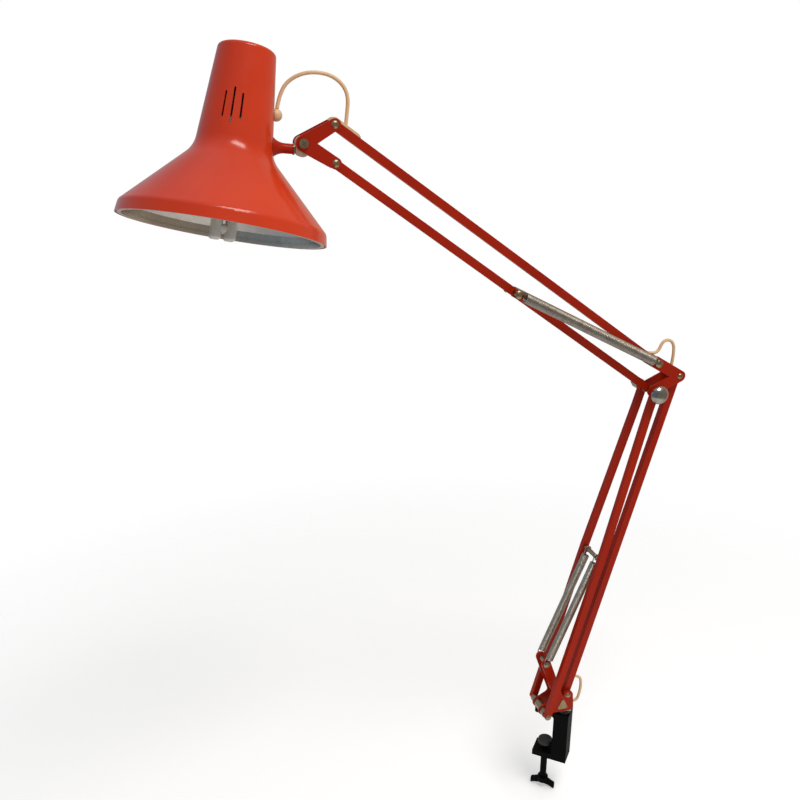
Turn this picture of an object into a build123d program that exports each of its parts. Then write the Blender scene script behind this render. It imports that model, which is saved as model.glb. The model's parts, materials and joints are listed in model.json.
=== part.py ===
# Architect desk lamp: spring balanced double parallelogram arm on a screw clamp.
# Millimetres, +Z up. The arm folds in a plane parallel to XZ with the shade at -X.
# The origin lies on the clamp's desk face, above the clamp screw.
from build123d import *
from math import atan2, cos, degrees, hypot, pi, radians, sin, sqrt, tan
import os

# Running clearances
pin_clearance = 0.05
side_clearance = 0.3
fixed_clearance = 0.02

# Clamp
clamp_azimuth = 140.0
clamp_width = 23.5
jaw_reach = 13.0
jaw_thickness = 5.0
jaw_corner = 3.0
spine_depth = 18.0
spine_to_screw = 20.0
throat_height = 57.0
lower_jaw_thickness = 7.0
clamp_fillet = 4.0

# Clamp screw
screw_radius = 4.0
screw_length = 62.0
pad_radius = 8.5
pad_thickness = 4.0
pad_gap_at_rest = 45.0
wing_half_span = 15.0
wing_height = 14.0
wing_thickness = 4.0
wing_hub_radius = 6.5

# Swivel
spindle_radius = 5.0
spindle_depth = 40.0
bush_wall = 1.5
bush_flange = 8.5
bush_flange_height = 2.0
spindle_block_length = 13.0
spindle_block_height = 14.0

# Linkage in the arm plane, angles from +X
pivot_setback = 31.6
pivot_rise = 13.0
lower_length = 406.5
lower_angle = 75.0
upper_length = 420.0
upper_angle = 144.5
rear_offset_x = 31.6
rear_offset_z = 14.3
riser_height = 33.0
head_offset_x = -28.5
head_offset_z = 17.5
spring_lug_height = 65.2
lower_spring_reach = 206.0
upper_spring_reach = 201.0

# Bars
bar_height = 8.0
bar_width = 8.0
outer_bar_width = 6.0
bar_wall = 1.1
outer_spread_base = 19.7
elbow_straight = 20.0
bar_end_round = 3.8

# Plates and pins
plate_thickness = 2.0
base_plate_inner = 6.9
elbow_plate_inner = 7.3
fork_plate_thickness = 1.8
fork_plate_inner = 6.8
pin_radius = 2.5
rod_radius = 3.0
bolt_radius = 3.0
rivet_radius = 3.2
rivet_height = 1.6
rod_head_radius = 3.6
lug_head_radius = 4.0
spring_pin_head_radius = 4.2
fork_rivet_radius = 3.5
screw_head_height = 2.4
screw_slot_length = 5.0
screw_slot_width = 1.0
screw_slot_angle = 35.0
nut_height = 4.0
nut_radius = 4.6
lug_radius = 5.6
base_corner_radius = 6.2
base_corner_x = 33.0
base_corner_z = -1.2
base_web_x = 20.0
base_web_z = 11.0
elbow_lug_radius = 6.2
fork_lug_radius = 5.2
fork_apex_radius = 6.8
notch_radius = 4.0
notch_share = 0.7

# Bare plate on the bracket
badge_width = 15.0
badge_height = 15.5
badge_thickness = 0.6
badge_corner = 2.0
badge_x = 25.0
badge_z = 4.6

# Elbow knob
knob_radius = 10.0
knob_height = 7.0
knob_collar_radius = 6.0
knob_collar_height = 6.0

# Springs
wire_radius = 0.9
spring_turns = 24
lower_spring_radius = 3.6
upper_spring_radius = 4.4
spring_tail = 13.0
gap_steps = 48

# Head joint and stem
stem_drop = 5.8
stem_slope = 5.8
stem_reach = 58.0
stem_radius = 4.4
stem_flare_radius = 9.5
stem_flare_length = 11.0
stem_stub_start = 0.9
stem_screw_radius = 2.5
knuckle_radius = 6.0
knuckle_length = 12.0
washer_thickness = 1.2
washer_radius = 5.0

# Shade, heights above the rim plane
head_roll = 12.2
neck_rake = 6.7
stem_height = 74.7
shade_wall = 1.0
rim_radius = 90.0
skirt_height = 10.0
skirt_radius = 88.4
neck_base_height = 66.0
neck_base_radius = 33.2
neck_top_height = 154.5
neck_top_radius = 24.3
neck_fillet = 26.0
skirt_fillet = 5.0
crown_fillet = 3.0
vent_half_angle = 14.0
vent_length = 21.8
vent_middle_length = 30.0
vent_width = 1.6
vent_height = 100.5
vent_azimuth = 105.5

# Reflector, lampholder and lamp
reflector_wall = 0.8
reflector_gap = 3.4
reflector_top = 60.0
reflector_low = 0.6
lip_inset = 4.3
lip_height = 2.0
groove_inset = 2.5
groove_height = 2.4
reflector_step_height = 24.0
reflector_step = 3.5
reflector_throat_radius = 27.0
holder_radius = 18.0
holder_height = 58.0
holder_cap_height = 6.0
ring_radius = 22.5
ring_height = 8.0
lamp_base_radius = 19.0
lamp_base_height = 32.0
lamp_cap_radius = 13.0
tube_radius = 4.8
tube_spacing = 12.6
tube_tip = -8.0
tube_tip_round = 2.0
tube_bridge_radius = 3.8

# Cord
cord_radius = 1.7
gland_radius = 5.4
gland_height = 8.0
gland_rise = 31.3
gland_stub_radius = 2.6
gland_sink = 3.4
guide_thickness = 2.2
guide_length = 22.0
guide_width = 7.0
guide_entry = 10.0
cord_end_margin = 26.0
saddle_x = 23.0
saddle_z = -13.0
saddle_size = 5.0
saddle_lean = 30.0
cord_lean = 8.0
arc_share = 0.45

# Points worked out from the driving dimensions
clamp_x = cos(radians(clamp_azimuth))
clamp_y = sin(radians(clamp_azimuth))
swivel_x = -spine_to_screw * clamp_x
swivel_y = -spine_to_screw * clamp_y
lower_cos = cos(radians(lower_angle))
lower_sin = sin(radians(lower_angle))
upper_cos = cos(radians(upper_angle))
upper_sin = sin(radians(upper_angle))


def shift(point, dx, dz):
    """A point of the arm plane moved by dx, dz."""
    return (point[0] + dx, point[1] + dz)


base_pivot = (swivel_x - pivot_setback, jaw_thickness + pivot_rise)
rear_pivot = shift(base_pivot, rear_offset_x, rear_offset_z)
lug_pivot = shift(base_pivot, 0, spring_lug_height)
elbow_pivot = shift(base_pivot, lower_length * lower_cos, lower_length * lower_sin)
elbow_rear = shift(elbow_pivot, rear_offset_x, rear_offset_z)
elbow_top = shift(elbow_pivot, 0, riser_height)
fork_low = shift(elbow_pivot, upper_length * upper_cos, upper_length * upper_sin)
fork_top = shift(fork_low, 0, riser_height)
head_pivot = shift(fork_low, head_offset_x, head_offset_z)
lower_spring_pivot = shift(base_pivot, lower_spring_reach * lower_cos, lower_spring_reach * lower_sin)
upper_spring_pivot = shift(elbow_pivot, upper_spring_reach * upper_cos, upper_spring_reach * upper_sin)

base_plate_outer = base_plate_inner + plate_thickness
elbow_plate_outer = elbow_plate_inner + plate_thickness
fork_plate_outer = fork_plate_inner + fork_plate_thickness
hole_reach = 2 * outer_spread_base
outer_spread_elbow = elbow_plate_outer + side_clearance + outer_bar_width / 2
lower_spring_offset = base_plate_outer + wire_radius + side_clearance
upper_spring_offset = elbow_plate_outer + upper_spring_radius + wire_radius + side_clearance


def arm_plane(near):
    """The arm plane moved towards the viewer by near; its x and y run along X and Z."""
    return Plane(origin=(0, swivel_y - near, 0), x_dir=(1, 0, 0), z_dir=(0, -1, 0))


def arm_point(point, near=0.0):
    return Vector(point[0], swivel_y - near, point[1])


def save(builder, label):
    """Label a finished piece and write it."""
    builder.part.label = label
    export_step(builder.part, f"parts/{label}.step")


def span(start, end):
    """Middle, length and angle of the line between two points of the arm plane."""
    dx = end[0] - start[0]
    dz = end[1] - start[1]
    middle = ((start[0] + end[0]) / 2, (start[1] + end[1]) / 2)
    return middle, hypot(dx, dz), degrees(atan2(dz, dx))


def bar_slot(start, end, height):
    """Round ended outline of a bar or an arm of a plate."""
    middle, length, angle = span(start, end)
    with Locations(middle):
        SlotCenterToCenter(length, height, rotation=angle)


def cut_pin_holes(points, radius):
    """Holes square to the arm plane, through everything."""
    with BuildSketch(arm_plane(0)) as holes:
        with Locations(*points):
            Circle(radius + pin_clearance)
    extrude(holes.sketch, amount=hole_reach, both=True, mode=Mode.SUBTRACT)


os.makedirs("parts", exist_ok=True)

# Clamp: one C-shaped casting with the spindle socket in its spine
clamp_origin = Plane(
    origin=(0, 0, 0),
    x_dir=(clamp_x, clamp_y, 0),
    z_dir=(clamp_y, -clamp_x, 0),
)
spine_back = -spine_to_screw - spine_depth / 2
spine_front = -spine_to_screw + spine_depth / 2
lower_jaw_top = -throat_height
clamp_bottom = lower_jaw_top - lower_jaw_thickness
bush_radius = spindle_radius + pin_clearance + bush_wall
with BuildPart() as clamp_frame:
    with BuildSketch(clamp_origin):
        with BuildLine():
            Polyline(
                (spine_back, jaw_thickness),
                (jaw_reach, jaw_thickness),
                (jaw_reach, 0),
                (spine_front, 0),
                (spine_front, lower_jaw_top),
                (jaw_reach, lower_jaw_top),
                (jaw_reach, clamp_bottom),
                (spine_back, clamp_bottom),
                close=True,
            )
        make_face()
    extrude(amount=clamp_width / 2, both=True)
    fillet(clamp_frame.edges().filter_by(Axis.Z).group_by(SortBy.LENGTH)[0], jaw_corner)
    inner_corners = clamp_frame.faces().filter_by(
        lambda face: abs(face.center().Z - lower_jaw_top / 2) < 1.0
    ).sort_by(lambda face: abs(face.center().dot(Vector(clamp_x, clamp_y, 0)) - spine_front))[0]
    fillet(inner_corners.edges().filter_by(Axis.Z, reverse=True), clamp_fillet)
    with BuildSketch(Plane.XY.offset(jaw_thickness)):
        with Locations((swivel_x, swivel_y)):
            Circle(bush_radius + fixed_clearance)
    extrude(amount=-spindle_depth - side_clearance, mode=Mode.SUBTRACT)
    with BuildSketch(Plane.XY.offset(clamp_bottom)):
        Circle(screw_radius + pin_clearance)
    extrude(amount=lower_jaw_thickness, mode=Mode.SUBTRACT)
save(clamp_frame, "clamp_frame")

with BuildPart() as swivel_bush:
    with BuildSketch(Plane.XY.offset(jaw_thickness)):
        with Locations((swivel_x, swivel_y)):
            Circle(bush_flange)
    extrude(amount=bush_flange_height)
    with BuildSketch(Plane.XY.offset(jaw_thickness)):
        with Locations((swivel_x, swivel_y)):
            Circle(bush_radius)
    extrude(amount=-spindle_depth)
    with BuildSketch(Plane.XY.offset(jaw_thickness + bush_flange_height)):
        with Locations((swivel_x, swivel_y)):
            Circle(spindle_radius + pin_clearance)
    extrude(amount=-spindle_depth - bush_flange_height, mode=Mode.SUBTRACT)
save(swivel_bush, "swivel_bush")

# Clamp screw with a wing forged to its foot, and its loose pad
pad_top = -pad_gap_at_rest
screw_top = pad_top - pad_thickness / 2
screw_bottom = screw_top - screw_length
with BuildPart() as clamp_screw:
    with BuildSketch(Plane.XY.offset(screw_bottom)):
        Circle(screw_radius)
    extrude(amount=screw_length)
    with BuildSketch(Plane.XY.offset(screw_bottom)):
        Circle(wing_hub_radius)
    extrude(amount=wing_height / 2)
    with BuildSketch(clamp_origin):
        with BuildLine():
            wing_top = screw_bottom + wing_height / 2
            wing_tip = screw_bottom - wing_height / 2
            Polyline((0, wing_top), (wing_half_span, screw_bottom))
            Line((wing_half_span, screw_bottom), (wing_half_span, wing_tip))
            ThreePointArc(
                (wing_half_span, wing_tip),
                (0, screw_bottom - wing_height / 4),
                (-wing_half_span, wing_tip),
            )
            Polyline((-wing_half_span, wing_tip), (-wing_half_span, screw_bottom), (0, wing_top))
        make_face()
    extrude(amount=wing_thickness / 2, both=True)
save(clamp_screw, "clamp_screw")

with BuildPart() as clamp_pad:
    with BuildSketch(Plane.XY.offset(pad_top)):
        Circle(pad_radius)
    extrude(amount=-pad_thickness, taper=-8)
    with BuildSketch(Plane.XY.offset(screw_top)):
        Circle(screw_radius + fixed_clearance)
    extrude(amount=-pad_thickness, mode=Mode.SUBTRACT)
save(clamp_pad, "clamp_pad")

# Swivel bracket: spindle with a square head between two plates
block_bottom = jaw_thickness + bush_flange_height + side_clearance
with BuildPart() as swivel_spindle:
    with BuildSketch(Plane.XY.offset(block_bottom)):
        with Locations((swivel_x, swivel_y)):
            Rectangle(spindle_block_length, 2 * base_plate_inner - 2 * fixed_clearance)
    extrude(amount=spindle_block_height)
    fillet(swivel_spindle.edges().group_by(Axis.Z)[-1].filter_by(Axis.Y), spindle_block_height / 7)
    with BuildSketch(Plane.XY.offset(block_bottom)):
        with Locations((swivel_x, swivel_y)):
            Circle(spindle_radius)
    extrude(amount=-spindle_depth)
save(swivel_spindle, "swivel_spindle")

base_corner = shift(base_pivot, base_corner_x, base_corner_z)
base_web = shift(base_pivot, base_web_x, base_web_z)
for name, near in (("near", base_plate_inner), ("far", -base_plate_outer)):
    with BuildPart() as base_plate:
        with BuildSketch(arm_plane(near)) as outline:
            bar_slot(base_pivot, base_corner, 2 * base_corner_radius)
            bar_slot(rear_pivot, base_corner, 2 * base_corner_radius)
            bar_slot(base_pivot, base_web, 2 * base_corner_radius)
            bar_slot(lug_pivot, base_web, 2 * lug_radius)
            with BuildLine():
                Polyline(base_pivot, base_web, rear_pivot, base_corner, close=True)
            make_face()
            notch = outline.vertices().sort_by_distance(shift(base_pivot, base_web_x / 2, base_web_z * 2))[0]
            fillet(notch, notch_radius)
        extrude(amount=plate_thickness)
        cut_pin_holes([base_pivot], rod_radius)
        cut_pin_holes([rear_pivot, lug_pivot], pin_radius)
    save(base_plate, f"base_plate_{name}")

with BuildPart() as badge_plate:
    with BuildSketch(arm_plane(base_plate_outer)) as badge_outline:
        centre = shift(base_pivot, badge_x, badge_z)
        with BuildLine():
            Polyline(
                shift(centre, 0, badge_height / 2),
                shift(centre, badge_width / 2, -badge_height / 2),
                shift(centre, -badge_width / 2, -badge_height / 2),
                close=True,
            )
        make_face()
        fillet(badge_outline.vertices(), badge_corner)
    extrude(amount=badge_thickness)
save(badge_plate, "badge_plate")


def round_piece(plane_near, length, radius, points):
    """Cylinders square to the arm plane, reaching length away from the viewer."""
    with BuildSketch(arm_plane(plane_near)) as ends:
        with Locations(*points):
            Circle(radius)
    extrude(ends.sketch, amount=-length)


def riveted_pin(point, radius, half_length, head_radius):
    """A pin across the arm plane with a low domed head on both ends."""
    profile_plane = Plane(origin=arm_point(point), x_dir=(1, 0, 0), z_dir=(0, 0, 1))
    with BuildPart() as pin:
        with BuildSketch(profile_plane):
            with BuildLine():
                Polyline(
                    (0, half_length + rivet_height),
                    (0, -half_length - rivet_height),
                )
                TangentArc((0, -half_length - rivet_height), (head_radius, -half_length), tangent=(1, 0))
                Polyline(
                    (head_radius, -half_length),
                    (radius, -half_length),
                    (radius, half_length),
                    (head_radius, half_length),
                )
                TangentArc((0, half_length + rivet_height), (head_radius, half_length), tangent=(1, 0))
            make_face()
        revolve(axis=Axis(arm_point(point), (0, 1, 0)))
    return pin


# Pins, rod and spacers of the bracket
rod_half = outer_spread_base + outer_bar_width / 2 + side_clearance
base_rod = riveted_pin(base_pivot, rod_radius, rod_half, rod_head_radius)
save(base_rod, "base_rod")
rear_pin = riveted_pin(rear_pivot, pin_radius, base_plate_outer, rivet_radius)
save(rear_pin, "rear_pin")
lug_half = lower_spring_offset + wire_radius + side_clearance
spring_lug_pin = riveted_pin(lug_pivot, pin_radius, lug_half, lug_head_radius)
save(spring_lug_pin, "spring_lug_pin")


def spacer_set(label, rows):
    """Sleeves on pins: point, pin radius and the two distances from the arm plane."""
    with BuildPart() as sleeves:
        for point, radius, inner, outer in rows:
            for start in (outer, -inner) if inner > 0 else (outer,):
                length = outer - inner if inner > 0 else 2 * outer
                with BuildSketch(arm_plane(start)):
                    with Locations(point):
                        Circle(radius + plate_thickness)
                        Circle(radius + pin_clearance, mode=Mode.SUBTRACT)
                extrude(amount=-length)
    save(sleeves, label)


bar_side = bar_width / 2 + side_clearance
outer_bar_inner = outer_spread_base - outer_bar_width / 2
spacer_set("base_spacers", [
    (base_pivot, rod_radius, base_plate_outer, outer_bar_inner - side_clearance),
    (base_pivot, rod_radius, 0, base_plate_inner),
    (rear_pivot, pin_radius, bar_side, base_plate_inner),
])

# Outer bars of the lower arm: parallel to the spring pin, then drawn in to the elbow
lower_along = Vector(lower_cos, 0, lower_sin)
lower_across = Vector(lower_sin, 0, -lower_cos)
bar_end = bar_height / 2


def outer_bar_outline(inset, overrun):
    """Plan of an outer bar, along its length and out from the arm plane."""
    low = -bar_end - overrun
    high = lower_length + bar_end + overrun
    half = outer_bar_width / 2 - inset
    base = outer_spread_base
    top = outer_spread_elbow
    with BuildLine() as edge:
        Polyline(
            (low, base - half),
            (lower_spring_reach, base - half),
            (lower_length - elbow_straight, top - half),
            (high, top - half),
            (high, top + half),
            (lower_length - elbow_straight, top + half),
            (lower_spring_reach, base + half),
            (low, base + half),
            close=True,
        )
    make_face(edge.edges())


for name, side in (("near", 1), ("far", -1)):
    bar_plane = Plane(
        origin=arm_point(base_pivot) - lower_across * bar_end * side,
        x_dir=lower_along,
        z_dir=lower_across * side,
    )
    floor = bar_wall if side > 0 else 0
    with BuildPart() as lower_bar:
        with BuildSketch(bar_plane):
            outer_bar_outline(0, 0)
        extrude(amount=bar_height)
        fillet(lower_bar.edges().filter_by(Axis.Y), bar_end_round)
        with BuildSketch(bar_plane.offset(floor)):
            outer_bar_outline(bar_wall, bar_height)
        extrude(amount=bar_height - bar_wall, mode=Mode.SUBTRACT)
        cut_pin_holes([base_pivot], rod_radius)
        with BuildSketch(arm_plane(0)):
            with Locations(lower_spring_pivot):
                Circle(pin_radius + pin_clearance)
        extrude(amount=outer_spread_base * side, mode=Mode.SUBTRACT)
        cut_pin_holes([elbow_pivot], bolt_radius)
    save(lower_bar, f"lower_bar_{name}")

lower_spring_pin = riveted_pin(
    lower_spring_pivot, pin_radius, outer_bar_inner + bar_wall, pin_radius + side_clearance
)
save(lower_spring_pin, "lower_spring_pin")


def channel_bar(start, end, open_angle, holes):
    """A bar bent from strip to a channel, its open side facing open_angle."""
    middle, length, angle = span(start, end)
    open_shift = bar_wall / 2
    groove_middle = shift(
        middle,
        open_shift * cos(radians(open_angle)),
        open_shift * sin(radians(open_angle)),
    )
    with BuildPart() as bar:
        with BuildSketch(arm_plane(0)):
            bar_slot(start, end, bar_height)
        extrude(amount=bar_width / 2, both=True)
        with BuildSketch(arm_plane(0)):
            with Locations(groove_middle):
                Rectangle(length + 2 * bar_height, bar_height - bar_wall, rotation=angle)
        extrude(amount=bar_width / 2 - bar_wall, both=True, mode=Mode.SUBTRACT)
        for points, radius in holes:
            cut_pin_holes(points, radius)
    return bar


rear_bar = channel_bar(rear_pivot, elbow_rear, lower_angle - 90, [([rear_pivot, elbow_rear], pin_radius)])
save(rear_bar, "rear_bar")
upper_bar = channel_bar(
    elbow_pivot,
    fork_low,
    upper_angle + 90,
    [([elbow_pivot], bolt_radius), ([fork_low, upper_spring_pivot], pin_radius)],
)
save(upper_bar, "upper_bar")
top_bar = channel_bar(elbow_top, fork_top, upper_angle - 90, [([elbow_top, fork_top], pin_radius)])
save(top_bar, "top_bar")

upper_pin_half = upper_spring_offset + wire_radius + side_clearance
upper_spring_pin = riveted_pin(upper_spring_pivot, pin_radius, upper_pin_half, spring_pin_head_radius)
save(upper_spring_pin, "upper_spring_pin")


def forked_plate(near, thickness, apex, apex_radius, arms, lug, holes):
    """A plate with two arms from its apex and a rounded notch between them."""
    with BuildPart() as plate:
        with BuildSketch(arm_plane(near)) as outline:
            for arm in arms:
                with BuildLine() as rounds:
                    CenterArc(apex, apex_radius, 0, 360)
                    CenterArc(arm, lug, 0, 360)
                make_hull(rounds.edges())
            inside = ((arms[0][0] + arms[1][0]) / 2, (arms[0][1] + arms[1][1]) / 2)
            notch = outline.vertices().sort_by_distance(inside)[0]
            fillet(notch, notch_share * lug)
        extrude(amount=thickness)
        for points, radius in holes:
            cut_pin_holes(points, radius)
    return plate


# Elbow
for name, near in (("near", elbow_plate_inner), ("far", -elbow_plate_outer)):
    elbow_plate = forked_plate(
        near,
        plate_thickness,
        elbow_rear,
        elbow_lug_radius,
        (elbow_pivot, elbow_top),
        elbow_lug_radius,
        [([elbow_pivot], bolt_radius), ([elbow_rear, elbow_top], pin_radius)],
    )
    save(elbow_plate, f"elbow_plate_{name}")

elbow_rear_pin = riveted_pin(elbow_rear, pin_radius, elbow_plate_outer, rivet_radius)
save(elbow_rear_pin, "elbow_rear_pin")
elbow_spring_pin = riveted_pin(elbow_top, pin_radius, upper_pin_half, spring_pin_head_radius)
save(elbow_spring_pin, "elbow_spring_pin")
spacer_set("elbow_spacers", [
    (elbow_pivot, bolt_radius, bar_side, elbow_plate_inner),
    (elbow_rear, pin_radius, bar_side, elbow_plate_inner),
    (elbow_top, pin_radius, bar_side, elbow_plate_inner),
])

outer_bar_face = outer_spread_elbow + outer_bar_width / 2
knob_face = outer_bar_face + side_clearance
bolt_near_end = knob_face + knob_collar_height + knob_height / 2
with BuildPart() as elbow_bolt:
    round_piece(bolt_near_end, bolt_near_end + knob_face, bolt_radius, [elbow_pivot])
    with BuildSketch(arm_plane(-knob_face)):
        with Locations(elbow_pivot):
            RegularPolygon(knob_collar_radius, 6)
    extrude(amount=-2 * knob_collar_height)
save(elbow_bolt, "elbow_bolt")

knob_plane = Plane(origin=arm_point(elbow_pivot, knob_face), x_dir=(1, 0, 0), z_dir=(0, 0, 1))
with BuildPart() as elbow_knob:
    with BuildSketch(knob_plane):
        with BuildLine():
            knob_tip = knob_collar_height + knob_height
            Polyline(
                (0, -knob_tip),
                (0, 0),
                (knob_collar_radius, 0),
                (knob_collar_radius, -knob_collar_height),
                (knob_radius, -knob_collar_height - side_clearance),
                (knob_radius, -knob_collar_height - bar_wall),
            )
            TangentArc((0, -knob_tip), (knob_radius, -knob_collar_height - bar_wall), tangent=(1, 0))
        make_face()
    revolve(axis=Axis(arm_point(elbow_pivot), (0, 1, 0)))
    bolt_hole = bolt_near_end - knob_face + side_clearance
    with BuildSketch(arm_plane(knob_face)):
        with Locations(elbow_pivot):
            Circle(bolt_radius + pin_clearance)
    extrude(amount=bolt_hole, mode=Mode.SUBTRACT)
save(elbow_knob, "elbow_knob")

# Fork that carries the head
for name, near in (("near", fork_plate_inner), ("far", -fork_plate_outer)):
    fork_plate = forked_plate(
        near,
        fork_plate_thickness,
        head_pivot,
        fork_apex_radius,
        (fork_low, fork_top),
        fork_lug_radius,
        [([head_pivot, fork_low, fork_top], pin_radius)],
    )
    save(fork_plate, f"fork_plate_{name}")

for label, point in (("fork_top_pin", fork_top), ("fork_low_pin", fork_low)):
    save(riveted_pin(point, pin_radius, fork_plate_outer, fork_rivet_radius), label)
spacer_set("fork_spacers", [
    (fork_low, pin_radius, bar_side, fork_plate_inner),
    (fork_top, pin_radius, bar_side, fork_plate_inner),
])

with BuildPart() as head_screw:
    round_piece(fork_plate_outer, 2 * fork_plate_outer + nut_height, pin_radius, [head_pivot])
    round_piece(fork_plate_outer + screw_head_height, screw_head_height, spring_pin_head_radius, [head_pivot])
    with BuildSketch(arm_plane(fork_plate_outer + screw_head_height)):
        with Locations(head_pivot):
            for turn in (0, 90):
                Rectangle(screw_slot_length, screw_slot_width, rotation=screw_slot_angle + turn)
    extrude(amount=-screw_slot_width, mode=Mode.SUBTRACT)
save(head_screw, "head_screw")
with BuildPart() as head_nut:
    with BuildSketch(arm_plane(-fork_plate_outer)):
        with Locations(head_pivot):
            RegularPolygon(nut_radius, 6)
            Circle(pin_radius + pin_clearance, mode=Mode.SUBTRACT)
    extrude(amount=-nut_height + side_clearance)
save(head_nut, "head_nut")

# Stem axis, from the foot below the head pivot towards the shade
slope_cos = cos(radians(stem_slope))
slope_sin = sin(radians(stem_slope))
stem_out = Vector(-slope_cos, 0, slope_sin)
stem_up = Vector(slope_sin, 0, slope_cos)
stem_foot = arm_point(head_pivot) - stem_up * stem_drop

# Shade axes: the neck wall stands square to the stem, and the head is rolled about it
rolled_up = stem_up * cos(radians(head_roll)) + Vector(0, 1, 0) * sin(radians(head_roll))
shade_axis = stem_out * -sin(radians(neck_rake)) + rolled_up * cos(radians(neck_rake))
shade_out = stem_out * -cos(radians(neck_rake)) - rolled_up * sin(radians(neck_rake))
neck_centre = stem_foot + stem_out * stem_reach
rim_centre = neck_centre - shade_axis * stem_height
shade_plane = Plane(origin=rim_centre, x_dir=shade_out, z_dir=shade_axis)
profile_plane = Plane(origin=rim_centre, x_dir=shade_out, z_dir=shade_plane.y_dir * -1)
shade_turn = Axis(rim_centre, shade_axis)
stem_turn = Axis(stem_foot, stem_out)
stem_plane = Plane(origin=stem_foot, x_dir=stem_out, z_dir=(0, -1, 0))

knuckle_half = fork_plate_inner - side_clearance
with BuildPart() as head_knuckle:
    with BuildSketch(arm_plane(0)):
        bar_slot(head_pivot, (stem_foot.X, stem_foot.Z), 2 * knuckle_radius)
    extrude(amount=knuckle_half, both=True)
    cut_pin_holes([head_pivot], pin_radius)
    with BuildSketch(Plane(origin=stem_foot + stem_out * knuckle_length, z_dir=stem_out)):
        Circle(stem_screw_radius + pin_clearance)
    extrude(amount=-knuckle_length, mode=Mode.SUBTRACT)
save(head_knuckle, "head_knuckle")

washer_start = knuckle_radius + side_clearance
with BuildPart() as stem_washer:
    with BuildSketch(Plane(origin=stem_foot + stem_out * washer_start, z_dir=stem_out)):
        Circle(washer_radius)
        Circle(stem_screw_radius + pin_clearance, mode=Mode.SUBTRACT)
    extrude(amount=washer_thickness)
save(stem_washer, "stem_washer")

# Shade profile as half sections, outer line first
neck_slope = (neck_base_radius - neck_top_radius) / (neck_top_height - neck_base_height)


def neck_radius(height):
    """Outside radius of the neck at a height above the rim plane."""
    return neck_base_radius - neck_slope * (height - neck_base_height)


seat_gap = 0.7 * shade_wall + fixed_clearance
stem_face = neck_radius(stem_height) * cos(radians(neck_rake))
stem_end = stem_reach - stem_face
with BuildPart() as stem:
    with BuildSketch(stem_plane):
        with BuildLine():
            tube_start = washer_start + washer_thickness + fixed_clearance
            flare_start = stem_end - stem_flare_length
            Polyline(
                (stem_end + stem_flare_radius / 2, stem_flare_radius),
                (stem_end + stem_flare_radius / 2, 0),
                (stem_stub_start, 0),
                (stem_stub_start, stem_screw_radius),
                (tube_start, stem_screw_radius),
                (tube_start, stem_radius),
                (flare_start, stem_radius),
            )
            TangentArc((flare_start, stem_radius), (stem_end, stem_flare_radius), tangent=(1, 0))
            Line((stem_end, stem_flare_radius), (stem_end + stem_flare_radius / 2, stem_flare_radius))
        make_face()
    revolve(axis=stem_turn)
    with BuildSketch(profile_plane):
        with BuildLine():
            FilletPolyline(
                (skirt_radius + seat_gap, skirt_height),
                (neck_base_radius + seat_gap, neck_base_height),
                (neck_top_radius + seat_gap, neck_top_height),
                radius=neck_fillet,
            )
            Polyline(
                (neck_top_radius + seat_gap, neck_top_height),
                (0, neck_top_height),
                (0, skirt_height),
                (skirt_radius + seat_gap, skirt_height),
            )
        make_face()
    revolve(axis=shade_turn, mode=Mode.SUBTRACT)
    with BuildSketch(Plane(origin=stem_foot + stem_out * stem_end, z_dir=stem_out)):
        Circle(stem_screw_radius + fixed_clearance)
    extrude(amount=-stem_flare_length, mode=Mode.SUBTRACT)
save(stem, "stem")


def around_shade(angle, height, radius):
    """A plane on the neck facing outwards, its y axis along the shade axis."""
    turn = radians(angle)
    outward = shade_out * cos(turn) + shade_plane.y_dir * sin(turn)
    sideways = shade_plane.y_dir * cos(turn) - shade_out * sin(turn)
    return Plane(rim_centre + shade_axis * height + outward * radius, x_dir=sideways, z_dir=outward)


gland_level = stem_height + gland_rise
gland_seat = neck_radius(gland_level) + shade_wall / 2
with BuildPart() as shade:
    with BuildSketch(profile_plane):
        with BuildLine() as shade_line:
            FilletPolyline(
                (rim_radius, 0),
                (skirt_radius, skirt_height),
                (neck_base_radius, neck_base_height),
                (neck_top_radius, neck_top_height),
                (0, neck_top_height),
                radius=(skirt_fillet, neck_fillet, crown_fillet),
            )
        trace(shade_line.line, line_width=shade_wall)
    revolve(axis=shade_turn)
    for side in (0, 180):
        for row, length in ((-1, vent_length), (0, vent_middle_length), (1, vent_length)):
            angle = side - vent_azimuth + row * vent_half_angle
            with BuildSketch(around_shade(angle, vent_height, rim_radius)):
                SlotOverall(length, vent_width, rotation=90)
            extrude(amount=neck_top_radius / 2 - rim_radius, mode=Mode.SUBTRACT)
    with BuildSketch(around_shade(0, gland_level, rim_radius)):
        Circle(gland_stub_radius + pin_clearance)
    extrude(amount=neck_top_radius / 2 - rim_radius, mode=Mode.SUBTRACT)
    with BuildSketch(Plane(origin=stem_foot, z_dir=stem_out)):
        Circle(stem_screw_radius + pin_clearance)
    extrude(amount=stem_reach, mode=Mode.SUBTRACT)
save(shade, "shade")

# Screw inside the neck that holds the shade on the stem
fixing_start = stem_end + shade_wall + side_clearance
with BuildPart() as stem_fixing_screw:
    with BuildSketch(Plane(origin=stem_foot + stem_out * fixing_start, z_dir=stem_out)):
        Circle(stem_flare_radius / 2)
    extrude(amount=screw_head_height)
    with BuildSketch(Plane(origin=stem_foot + stem_out * fixing_start, z_dir=stem_out)):
        Circle(stem_screw_radius)
    extrude(amount=-stem_flare_length)
save(stem_fixing_screw, "stem_fixing_screw")

# Stepped reflector behind the rim
skirt_lean = (rim_radius - skirt_radius) / skirt_height
cone_lean = (skirt_radius - neck_base_radius) / (neck_base_height - skirt_height)


def shade_radius(height):
    """Middle of the shade's wall below the neck, at a height above the rim plane."""
    if height < skirt_height:
        return rim_radius - skirt_lean * height
    return skirt_radius - cone_lean * (height - skirt_height)


def reflector_radius(height):
    return shade_radius(height) - reflector_gap


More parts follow.
